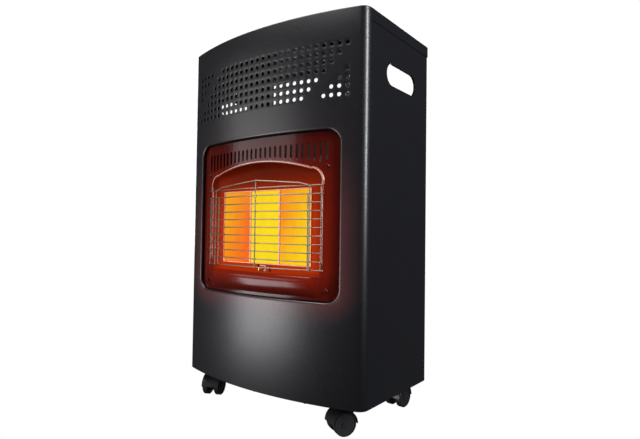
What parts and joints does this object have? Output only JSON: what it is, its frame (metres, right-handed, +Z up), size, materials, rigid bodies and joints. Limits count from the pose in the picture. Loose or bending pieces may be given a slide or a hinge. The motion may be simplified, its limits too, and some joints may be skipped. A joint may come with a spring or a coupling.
{
  "type": "portable gas cabinet heater",
  "caption": "Gas cabinet heater: bowed perforated steel front, arched fascia, ceramic plaque burner behind a wire guard, lift-off rear cover, push-and-turn control, twin-wheel castors.",
  "frame": {"origin": "on the floor under the middle of the whole heater", "axes": "+X to the viewer's right when facing the front, +Y to the rear, +Z up; the bowed front faces -Y"},
  "size_m": [0.43, 0.2622, 0.7105],
  "materials": {
    "black_powder_coat": "satin black powder coat",
    "red_brown_enamel": "gloss red-brown enamel",
    "bright_steel": "heat-tinted bright steel",
    "galvanised_steel": "galvanised sheet",
    "zinc_screws": "zinc plated",
    "burner_ceramic": "porous ceramic, glowing",
    "fibre_gasket": "ceramic fibre",
    "aluminised_steel": "aluminised sheet",
    "brass": "turned brass",
    "chromed_wire": "chromed wire",
    "white_ceramic": "glazed insulator",
    "copper_alloy": "drawn copper",
    "tray_plastic": "moulded black",
    "cast_aluminium": "die cast",
    "knob_plastic": "moulded black",
    "button_plastic": "moulded black",
    "aluminium_tube": "drawn tube",
    "silicone_lead": "silicone sleeve",
    "castor_plastic": "moulded black",
    "wheel_plastic": "moulded dark grey"
  },
  "bodies": {
    "cabinet": {"front_shell": "black_powder_coat", "side_panel_left": "black_powder_coat", "side_panel_right": "black_powder_coat", "top_panel": "black_powder_coat", "base_tray": "black_powder_coat", "fascia": "red_brown_enamel", "reflector": "red_brown_enamel", "heat_shield": "galvanised_steel", "fascia_screws": "black_powder_coat", "base_screws": "zinc_screws", "castor_sockets": "castor_plastic", "plaque_frame": "bright_steel", "plaque_left": "burner_ceramic", "plaque_centre": "burner_ceramic", "plaque_right": "burner_ceramic", "plaque_gaskets": "fibre_gasket", "burner_body": "aluminised_steel", "burner_brackets": "galvanised_steel", "venturi_tubes": "aluminised_steel", "injectors": "brass", "manifold": "galvanised_steel", "manifold_brackets": "galvanised_steel", "wire_guard": "chromed_wire", "pilot_bracket": "galvanised_steel", "pilot_burner": "brass", "ignition_electrode": "white_ceramic", "thermocouple": "copper_alloy", "control_tray": "tray_plastic", "gas_valve": "cast_aluminium", "piezo_igniter": "knob_plastic", "inlet_nozzle": "brass", "main_gas_tube": "aluminium_tube", "pilot_tube": "aluminium_tube", "thermocouple_lead": "copper_alloy", "ignition_lead": "silicone_lead"},
    "rear_cover": {"rear_cover": "black_powder_coat"},
    "control_spindle": {"valve_spindle": "brass"},
    "control_knob": {"control_knob": "knob_plastic"},
    "igniter_button": {"igniter_button": "button_plastic"},
    "castor_front_left": {"castor_front_left_housing": "castor_plastic", "castor_front_left_stem": "zinc_screws", "castor_front_left_axle": "zinc_screws"},
    "wheel_front_left_left": {"castor_front_left_wheel_left": "wheel_plastic"},
    "wheel_front_left_right": {"castor_front_left_wheel_right": "wheel_plastic"},
    "castor_front_right": {"castor_front_right_housing": "castor_plastic", "castor_front_right_stem": "zinc_screws", "castor_front_right_axle": "zinc_screws"},
    "wheel_front_right_left": {"castor_front_right_wheel_left": "wheel_plastic"},
    "wheel_front_right_right": {"castor_front_right_wheel_right": "wheel_plastic"},
    "castor_rear_left": {"castor_rear_left_housing": "castor_plastic", "castor_rear_left_stem": "zinc_screws", "castor_rear_left_axle": "zinc_screws"},
    "wheel_rear_left_left": {"castor_rear_left_wheel_left": "wheel_plastic"},
    "wheel_rear_left_right": {"castor_rear_left_wheel_right": "wheel_plastic"},
    "castor_rear_right": {"castor_rear_right_housing": "castor_plastic", "castor_rear_right_stem": "zinc_screws", "castor_rear_right_axle": "zinc_screws"},
    "wheel_rear_right_left": {"castor_rear_right_wheel_left": "wheel_plastic"},
    "wheel_rear_right_right": {"castor_rear_right_wheel_right": "wheel_plastic"}
  },
  "joints": [
    {"name": "rear_cover_lift", "type": "slide", "parent": "cabinet", "child": "rear_cover", "axis": [0, 0, 1], "range_m": [0, 0.01]},
    {"name": "control_turn", "type": "hinge", "parent": "cabinet", "child": "control_spindle", "pos_m": [0.096, 0.01725, 0.683], "axis": [0, 0, 1], "range_deg": [0, 210]},
    {"name": "control_push", "type": "slide", "parent": "control_spindle", "child": "control_knob", "axis": [0, 0, -1], "range_m": [0, 0.004], "stiffness_N_per_m": 500, "springref_m": -0.003},
    {"name": "igniter_push", "type": "slide", "parent": "cabinet", "child": "igniter_button", "axis": [0, 0, -1], "range_m": [0, 0.004], "stiffness_N_per_m": 800, "springref_m": -0.003},
    {"name": "castor_front_left_swivel", "type": "hinge", "parent": "cabinet", "child": "castor_front_left", "pos_m": [-0.167, -0.06275, 0.052], "axis": [0, 0, 1], "continuous": true},
    {"name": "wheel_front_left_left_roll", "type": "hinge", "parent": "castor_front_left", "child": "wheel_front_left_left", "pos_m": [-0.16024, -0.07725, 0.02], "axis": [0.9063, 0.4226, 0], "continuous": true},
    {"name": "wheel_front_left_right_roll", "type": "hinge", "parent": "castor_front_left", "child": "wheel_front_left_right", "pos_m": [-0.16024, -0.07725, 0.02], "axis": [0.9063, 0.4226, 0], "continuous": true},
    {"name": "castor_front_right_swivel", "type": "hinge", "parent": "cabinet", "child": "castor_front_right", "pos_m": [0.167, -0.06275, 0.052], "axis": [0, 0, 1], "continuous": true},
    {"name": "wheel_front_right_left_roll", "type": "hinge", "parent": "castor_front_right", "child": "wheel_front_right_left", "pos_m": [0.15876, -0.07646, 0.02], "axis": [0.8572, -0.515, 0], "continuous": true},
    {"name": "wheel_front_right_right_roll", "type": "hinge", "parent": "castor_front_right", "child": "wheel_front_right_right", "pos_m": [0.15876, -0.07646, 0.02], "axis": [0.8572, -0.515, 0], "continuous": true},
    {"name": "castor_rear_left_swivel", "type": "hinge", "parent": "cabinet", "child": "castor_rear_left", "pos_m": [-0.167, 0.08925, 0.052], "axis": [0, 0, 1], "continuous": true},
    {"name": "wheel_rear_left_left_roll", "type": "hinge", "parent": "castor_rear_left", "child": "wheel_rear_left_left", "pos_m": [-0.16101, 0.10409, 0.02], "axis": [-0.9272, 0.3746, 0], "continuous": true},
    {"name": "wheel_rear_left_right_roll", "type": "hinge", "parent": "castor_rear_left", "child": "wheel_rear_left_right", "pos_m": [-0.16101, 0.10409, 0.02], "axis": [-0.9272, 0.3746, 0], "continuous": true},
    {"name": "castor_rear_right_swivel", "type": "hinge", "parent": "cabinet", "child": "castor_rear_right", "pos_m": [0.167, 0.08925, 0.052], "axis": [0, 0, 1], "continuous": true},
    {"name": "wheel_rear_right_left_roll", "type": "hinge", "parent": "castor_rear_right", "child": "wheel_rear_right_left", "pos_m": [0.16825, 0.1052, 0.02], "axis": [-0.9969, 0.0785, 0], "continuous": true},
    {"name": "wheel_rear_right_right_roll", "type": "hinge", "parent": "castor_rear_right", "child": "wheel_rear_right_right", "pos_m": [0.16825, 0.1052, 0.02], "axis": [-0.9969, 0.0785, 0], "continuous": true}
  ]
}
